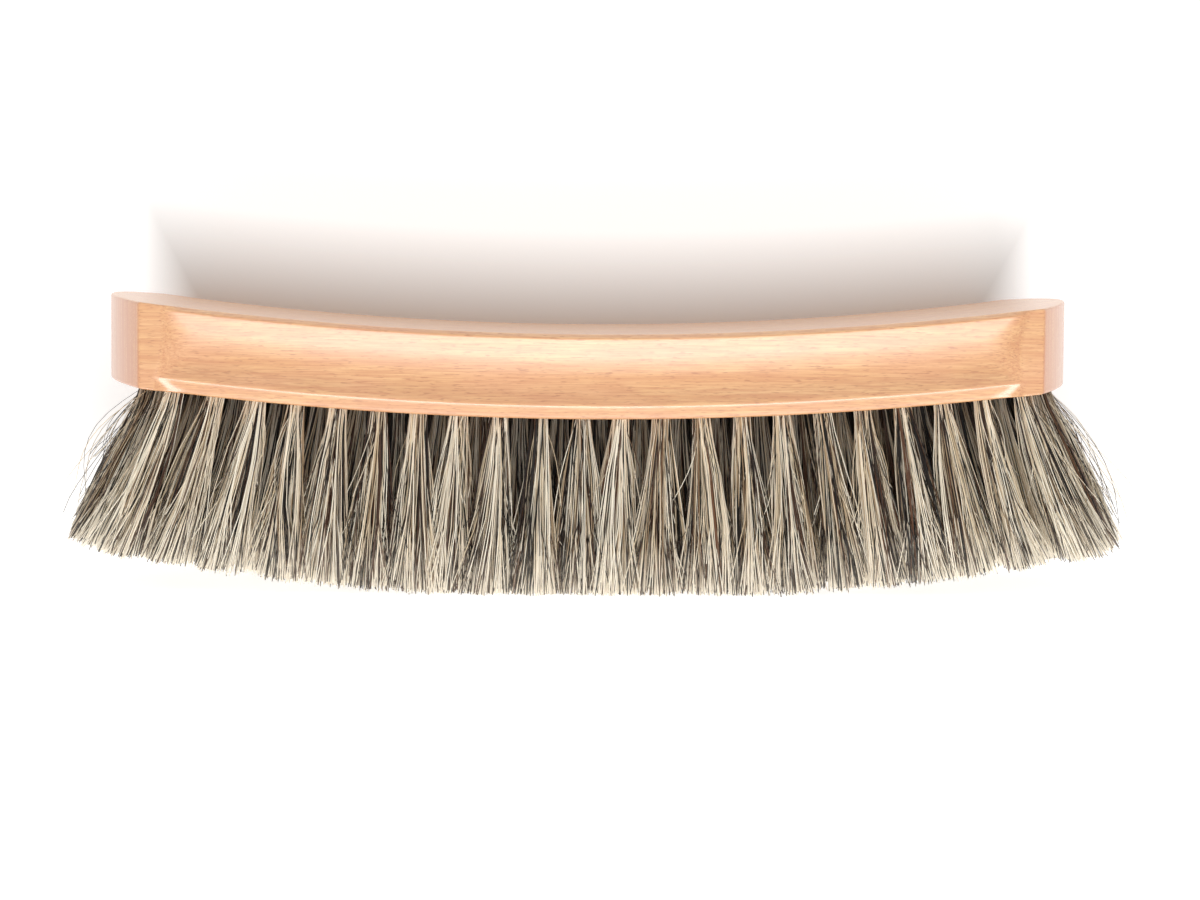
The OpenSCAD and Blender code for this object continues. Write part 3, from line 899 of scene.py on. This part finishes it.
# %% Beech
def steamed_beech():
    """Planed and moulded steamed beech under a satin clear lacquer."""
    material, tree, shader = new_material("steamed_beech_lacquered", Roughness=0.5, IOR=1.5,
                                          Coat_Weight=1.0, Coat_Roughness=0.26, Coat_IOR=1.78)
    spot = add(tree, "TexCoord")

    def grain(size, detail, distortion):
        """A pattern of the wood: noise whose features are about size in millimetres."""
        scale = tuple(1 / (length * MM) for length in size)
        stretch = add(tree, "Mapping", {"Vector": spot.outputs["Object"], "Scale": scale})
        noise = add(tree, "TexNoise", {"Vector": stretch.outputs["Vector"], "Scale": 1.0,
                                       "Detail": detail, "Distortion": distortion})
        return noise.outputs["Fac"]

    bands = add(tree, "ValToRGB", {"Fac": grain(*BANDS)}, stops=BAND_STOPS)
    wood = bands.outputs["Color"]
    for size, detail, distortion, (start, stop), most, ease, colour in LAYERS:
        share = add(tree, "MapRange", {"Value": grain(size, detail, distortion), "From Min": start,
                                       "From Max": stop, "To Max": most}, interpolation_type=ease)
        wood = add(tree, "Mix", {"Factor": share.outputs["Result"], COLOUR_A: wood,
                                 COLOUR_B: linear(colour)}, data_type="RGBA").outputs[COLOUR_OUT]
    facing = add(tree, "SeparateXYZ", {"Vector": spot.outputs["Normal"]})
    endways = add(tree, "Math", {0: facing.outputs["X"]}, operation="ABSOLUTE")
    on_end = add(tree, "MapRange", {"Value": endways.outputs["Value"],
                                    "From Min": END_FACING[0], "From Max": END_FACING[1]})
    streaks = add(tree, "MapRange", {"Value": grain(*STREAKS), "From Min": STREAK_VALUES[0],
                                     "From Max": STREAK_VALUES[1], "To Min": LEAST_STREAK})
    end_grain = add(tree, "Math", {0: on_end.outputs["Result"], 1: streaks.outputs["Result"]},
                    operation="MULTIPLY")
    ended = add(tree, "Mix", {"Factor": end_grain.outputs["Value"], COLOUR_A: wood,
                              COLOUR_B: linear(END_COLOUR)}, data_type="RGBA")
    tree.links.new(ended.outputs[COLOUR_OUT], shader.inputs["Base Color"])
    return material


block.data.materials.append(steamed_beech())
print("beech on the block, with", len(LAYERS), "layers over its bands")

# %% [markdown]
# The anchors are short pieces of plain drawn flat steel wire. They sit deep in the holes, so their
# CAD shape stays and only its finish is set. A plain grey metal would do, but drawing leaves fine
# lines along a wire, and these change its brightness and its gloss a little.

# %% Anchor wire
# Noise cells per metre along, across and up: lines of about 2.5 mm by 0.1 mm
DRAWN_LINES = (400.0, 400.0, 9000.0)
STEEL_STOPS = [(0.3, "#a6a9ad"), (0.7, "#c6c8ca")]
STEEL_ROUGHNESS = (0.3, 0.5)


def drawn_wire():
    """Plain drawn flat steel wire: a pale grey metal with fine drawing lines."""
    material, tree, shader = new_material("drawn_flat_steel_wire", Metallic=1.0)
    spot = add(tree, "TexCoord")
    lines = add(tree, "Mapping", {"Vector": spot.outputs["Object"], "Scale": DRAWN_LINES})
    noise = add(tree, "TexNoise", {"Vector": lines.outputs["Vector"], "Scale": 1.0, "Detail": 2.0})
    shade = add(tree, "ValToRGB", {"Fac": noise.outputs["Fac"]}, stops=STEEL_STOPS)
    rough = add(tree, "MapRange", {"Value": noise.outputs["Fac"], "To Min": STEEL_ROUGHNESS[0],
                                   "To Max": STEEL_ROUGHNESS[1]})
    tree.links.new(shade.outputs["Color"], shader.inputs["Base Color"])
    tree.links.new(rough.outputs["Result"], shader.inputs["Roughness"])
    return material


wire_material = drawn_wire()
for row in range(1, ROWS + 1):
    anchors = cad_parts[f"anchor_row_{row}"]
    anchors.data.materials.clear()
    anchors.data.materials.append(wire_material)
print("wire on", ROWS, "rows of anchors")

# %% [markdown]
# The photograph is lit softly from all sides, and a wide light low in front shines up into the
# upper half of the hollow, while its lower half stays plain. Sun lamps would give hard edges, so
# large area lamps are used. A weaker twin of the low lamp does the same for the back, and a large
# lamp overhead adds a little from above.

# %% Lamps
# Each lamp's size in metres, power in watts and place
LAMPS = {"low_front_light": ((0.60, 0.40), 4.7, (0.04, -0.72, -0.50)),
         "low_back_light": ((0.60, 0.50), 4.0, (-0.10, 0.72, -0.50)),
         "top_light": ((1.2, 1.2), 1.6, (0.0, 0.25, 1.2))}
LAMP_TARGET = (0.0, 0.0, 0.03)


def area_light(name, size, power, at, target):
    """A rectangular lamp, size in metres and power in watts, that looks from at to target."""
    data = bpy.data.lights.new(name, "AREA")
    data.shape, data.size, data.size_y, data.energy = "RECTANGLE", size[0], size[1], power
    lamp = bpy.data.objects.new(name, data)
    bpy.context.scene.collection.objects.link(lamp)
    back = np.array(at) - np.array(target)
    back /= np.linalg.norm(back)
    right = np.cross([0.0, 0.0, 1.0], back)
    right /= np.linalg.norm(right)
    axes = np.stack([right, np.cross(back, right), back], axis=1)
    lamp.matrix_world = Matrix.Translation(at) @ Matrix(axes.tolist()).to_4x4()


for name, (size, power, at) in LAMPS.items():
    area_light(name, size, power, at, LAMP_TARGET)
print("lamps and their power in watts:", {name: lamp[1] for name, lamp in LAMPS.items()})

# %% [markdown]
# A white room round the brush fills the shadows. One strength can't do both jobs: at 1 the room
# is white in the picture, but lights the brush too much. So Light Path tells the rays apart, and
# the camera, gloss and glass see white, while the room gives only part of that as light.

# %% White room
WORLD_LEVEL = 0.8
world = bpy.data.worlds.new("white_room")
bpy.context.scene.world = world
world.use_nodes = True
sky = world.node_tree
ray = add(sky, "LightPath")
mirrored = add(sky, "Math", {0: ray.outputs["Is Glossy Ray"], 1: ray.outputs["Is Transmission Ray"]},
               operation="MAXIMUM")
shown = add(sky, "Math", {0: ray.outputs["Is Camera Ray"], 1: mirrored.outputs["Value"]},
            operation="MAXIMUM")
level = add(sky, "Mix", {"Factor": shown.outputs["Value"], "A": WORLD_LEVEL, "B": 1.0}, data_type="FLOAT")
sky.nodes["Background"].inputs["Color"].default_value = linear("#ffffff")
sky.links.new(level.outputs["Result"], sky.nodes["Background"].inputs["Strength"])
print("the room gives", WORLD_LEVEL, "of its white as light")

# %% [markdown]
# The brush stands on white paper, and a second sheet behind it shows a soft shade above the block,
# partly cast by the lamps and partly painted. One sheet could curve up, but two flat ones can each be
# tuned. Paper that is only lit would turn grey, so it also glows, evenly on the floor, while on the
# sheet the glow is weak near the block and grows with the distance from it: a painted shade. The
# sheet's paper is greyer, for a darker shade. Both are clear from behind, so that no view is blocked,
# and send no light back, but gloss mirrors the sheet.

# %% White paper, with a painted shade on the sheet
# Distance from the block in which the sheet reaches its full glow, where its painted shade ends
SHADE_REACH = 20 * MM
# Past its ends the distance counts this much more, and starts 1.7 bulges before the tip
END_SLOPE, END_FROM = 1.7, HALF_L - 1.7 * END_BULGE


def white_paper(name, colour, glow):
    """Matt white paper whose own white grows from the first glow to the second away from the block.

    Where the two glows differ, the weaker glow near the block paints a shade there.
    The distance is the largest of those over its top arc, z - height - x squared / (2 radius),
    past its ends, slope * (|x| - start), and under it, underside - z.
    """
    material, tree, shader = new_material(name, Base_Color=linear(colour), Roughness=0.9)
    shader.inputs["Emission Color"].default_value = linear("#ffffff")
    place = add(tree, "SeparateXYZ", {"Vector": add(tree, "TexCoord").outputs["Object"]})
    x, z = place.outputs["X"], place.outputs["Z"]
    square = add(tree, "Math", {0: x, 1: x}, operation="MULTIPLY").outputs["Value"]
    flat = add(tree, "Math", {0: z, 1: UNDER_Z + BLOCK_T}, operation="SUBTRACT").outputs["Value"]
    over = add(tree, "Math", {0: square, 1: -0.5 / TOP_R, 2: flat}, operation="MULTIPLY_ADD")
    aside = add(tree, "Math", {0: x}, operation="ABSOLUTE").outputs["Value"]
    beside = add(tree, "Math", {0: aside, 1: END_SLOPE, 2: -END_SLOPE * END_FROM}, operation="MULTIPLY_ADD")
    under = add(tree, "Math", {0: UNDER_Z, 1: z}, operation="SUBTRACT")
    away = over.outputs["Value"]
    for other in (beside, under):
        away = add(tree, "Math", {0: away, 1: other.outputs["Value"]}, operation="MAXIMUM").outputs["Value"]
    white = add(tree, "MapRange", {"Value": away, "From Max": SHADE_REACH,
                                   "To Min": glow[0], "To Max": glow[1]})
    tree.links.new(white.outputs["Result"], shader.inputs["Emission Strength"])
    side, clear = add(tree, "NewGeometry"), add(tree, "BsdfTransparent")
    seen = add(tree, "MixShader", {0: side.outputs["Backfacing"], 1: shader.outputs["BSDF"],
                                   2: clear.outputs["BSDF"]})
    tree.links.new(seen.outputs["Shader"], tree.nodes["Material Output"].inputs["Surface"])
    return material


floor_paper = white_paper("white_floor_paper", "#dddad7", glow=(0.75, 0.75))
# The sheet's glow rises from 0 near the block, a painted shade, on paper greyer than the floor's for a
# darker shade
painted_shade_paper = white_paper("white_sheet_painted_shade", "#cfccc9", glow=(0.0, 0.6))
print("the sheet reaches its full glow", SHADE_REACH / MM, "mm away from the block")

# %% Floor and sheet
# Half the width of the stage in metres, and the place of the sheet behind the brush
STAGE, SHEET_Y = 3.0, 34 * MM


def stage_sheet(name, corners, material, mirrored):
    """A flat sheet of the stage that receives light and shade and, unless mirrored, sends none back."""
    mesh = bpy.data.meshes.new(name)
    mesh.from_pydata(corners, [], [(0, 1, 2, 3)])
    mesh.materials.append(material)
    sheet = bpy.data.objects.new(name, mesh)
    bpy.context.scene.collection.objects.link(sheet)
    sheet.visible_diffuse = sheet.visible_shadow = False
    sheet.visible_glossy = mirrored


stage_sheet("floor", [(-STAGE, -STAGE, 0), (STAGE, -STAGE, 0), (STAGE, STAGE, 0), (-STAGE, STAGE, 0)],
            floor_paper, mirrored=False)
stage_sheet("sheet_behind", [(-STAGE, SHEET_Y, 0), (STAGE, SHEET_Y, 0),
                             (STAGE, SHEET_Y, STAGE), (-STAGE, SHEET_Y, STAGE)],
            painted_shade_paper, mirrored=True)
bpy.context.scene.view_settings.view_transform = "Standard"
print("floor and sheet in place, each", 2 * STAGE, "m wide")
